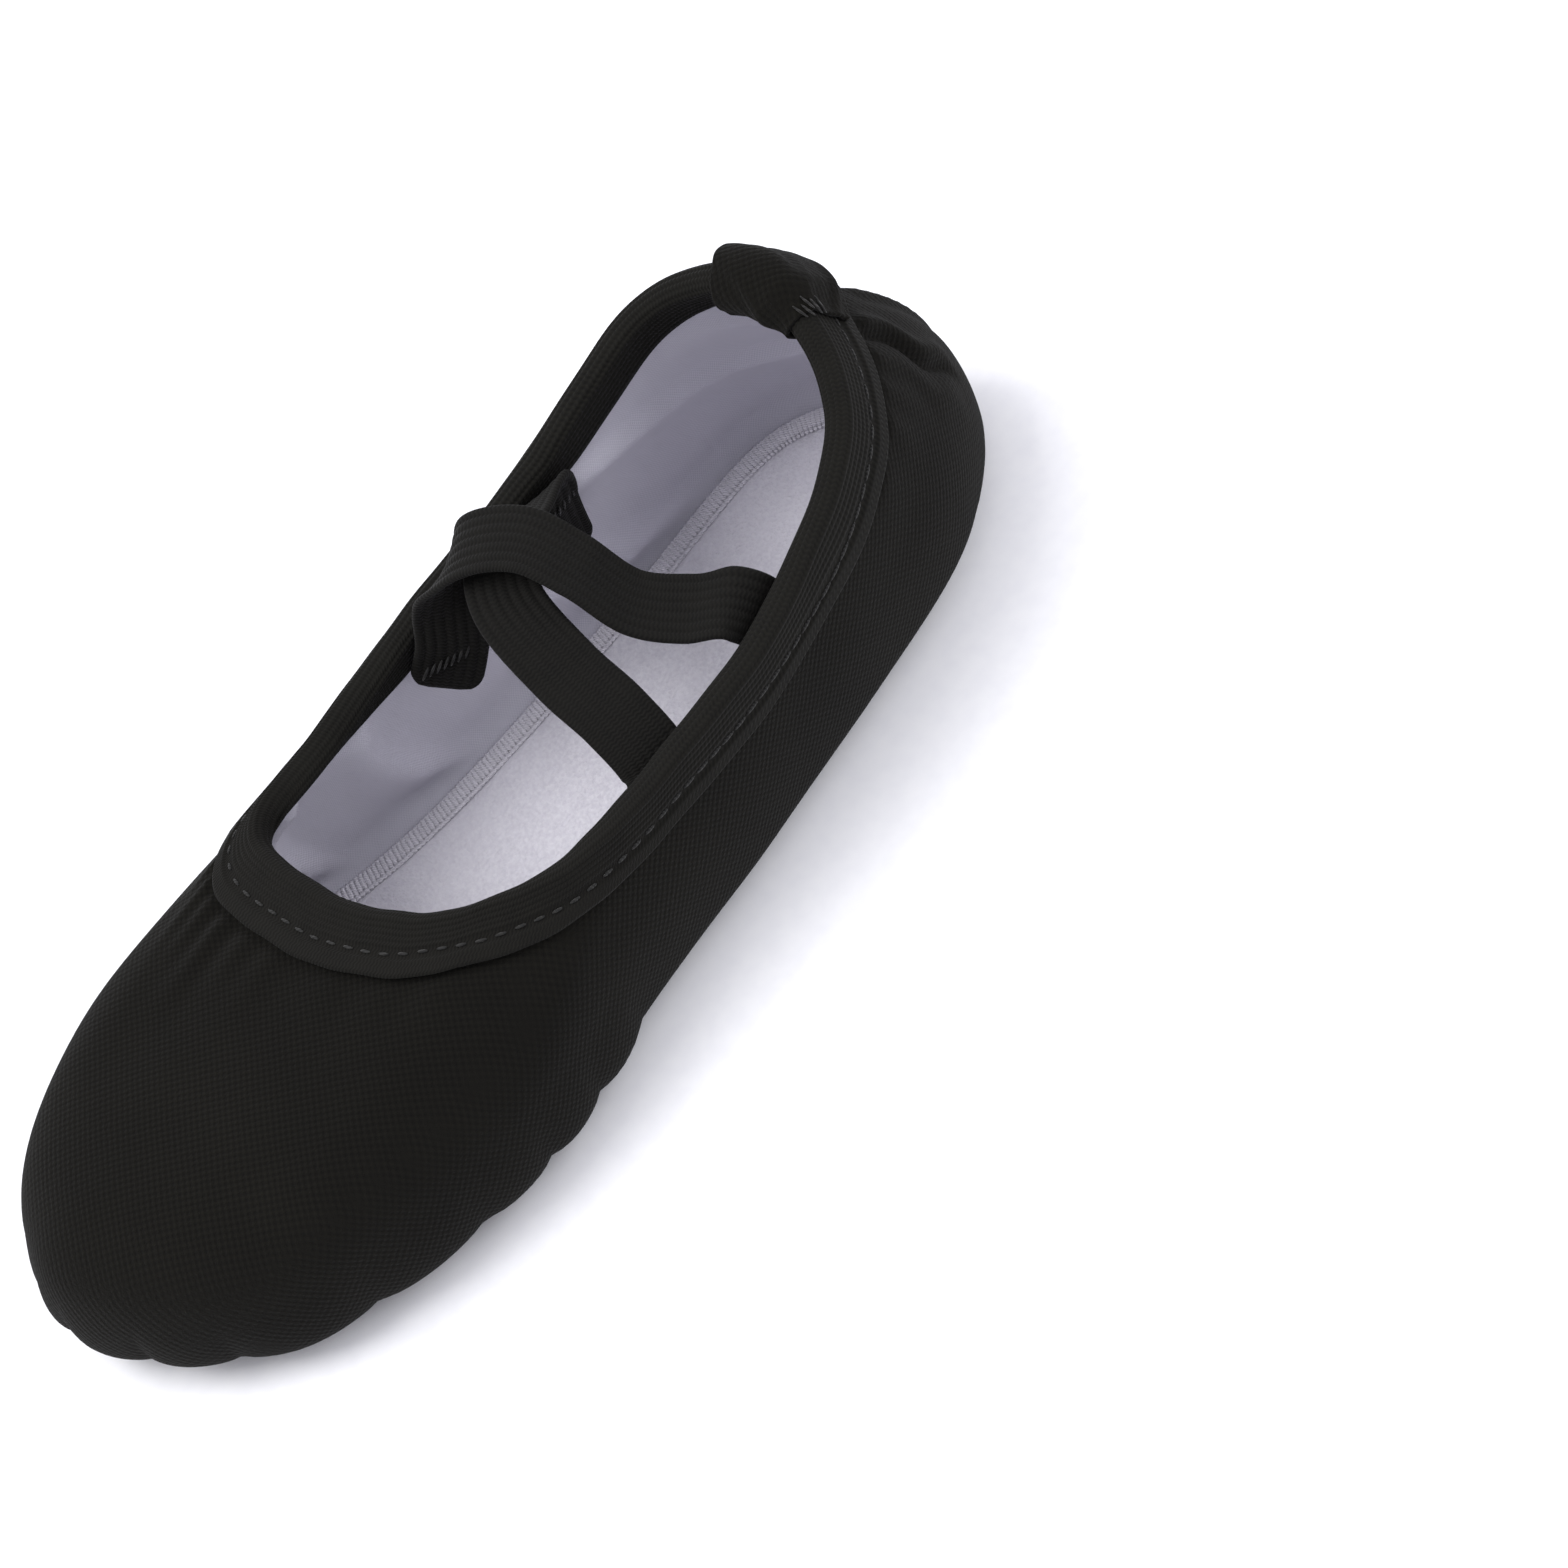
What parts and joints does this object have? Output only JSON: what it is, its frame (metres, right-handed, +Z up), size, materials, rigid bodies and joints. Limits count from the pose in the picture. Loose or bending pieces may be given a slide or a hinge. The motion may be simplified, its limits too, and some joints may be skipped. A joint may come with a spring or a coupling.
{
  "type": "ballet slipper",
  "caption": "Soft black canvas ballet slipper for the left foot, with a pale lining, ribbed elastic topline, crossed elastic straps and a suede split sole.",
  "frame": {"origin": "centre of the slipper's footprint on the floor it stands on", "axes": "+X towards the toe, +Y to the slipper's left (outer) side, +Z up out of the foot opening"},
  "size_m": [0.2262, 0.0796, 0.0643],
  "materials": {
    "canvas": "black basket-weave cotton canvas, matt",
    "cotton_lining": "pale lavender-grey plain cotton, slightly creased",
    "binding_elastic": "black ribbed elastic tape, matt",
    "strap_elastic": "black ribbed elastic tape with long ribs",
    "insole_fabric": "pale brushed fabric with an overlocked edge",
    "foam": "soft open-cell foam",
    "suede": "black split suede, short nap",
    "black_thread": "black polyester sewing thread",
    "overlock_thread": "pale soft overlock thread"
  },
  "bodies": {
    "forepart": {"canvas_vamp": "canvas", "lining_vamp": "cotton_lining", "binding_front": "binding_elastic", "topline_stitch_front": "black_thread", "insole_front": "insole_fabric", "insole_stitch_front": "overlock_thread", "forefoot_pad": "foam", "front_sole_patch": "suede", "front_patch_stitch_outer": "black_thread", "front_patch_stitch_inner": "black_thread", "arch_seam_stitch": "black_thread", "strap_over_tack_left": "black_thread", "strap_over_tack_right": "black_thread", "strap_under_tack_left": "black_thread", "strap_under_tack_right": "black_thread"},
    "heelpart": {"canvas_heel": "canvas", "lining_heel": "cotton_lining", "binding_heel": "binding_elastic", "topline_stitch_heel": "black_thread", "insole_heel": "insole_fabric", "insole_stitch_heel": "overlock_thread", "heel_pad": "foam", "heel_sole_patch": "suede", "heel_patch_stitch_outer": "black_thread", "heel_patch_stitch_inner": "black_thread", "heel_tab": "canvas", "heel_tab_stitch": "black_thread", "heel_seam_stitch": "black_thread"},
    "strap_over": {"strap_over": "strap_elastic"},
    "strap_under": {"strap_under": "strap_elastic"}
  },
  "joints": [
    {"name": "arch_bend", "type": "hinge", "parent": "forepart", "child": "heelpart", "pos_m": [-0.06704, 0, 0.0016], "axis": [0, -1, 0], "range_deg": [0, 25], "stiffness_Nm_per_rad": 0.05},
    {"name": "strap_over_swing", "type": "hinge", "parent": "forepart", "child": "strap_over", "pos_m": [-0.01433, -0.02233, 0.04295], "axis": [-0.5709, 0.821, 0.0115], "range_deg": [-20, 20], "stiffness_Nm_per_rad": 0.002, "deforming": ["strap_over"]},
    {"name": "strap_under_swing", "type": "hinge", "parent": "forepart", "child": "strap_under", "pos_m": [-0.04155, -0.02158, 0.04589], "axis": [0.4617, 0.8821, -0.0936], "range_deg": [-20, 20], "stiffness_Nm_per_rad": 0.002, "deforming": ["strap_under"]}
  ],
  "couplings": [
    {"joint": "strap_under_swing", "follows": "strap_over_swing", "ratio": 1}
  ]
}
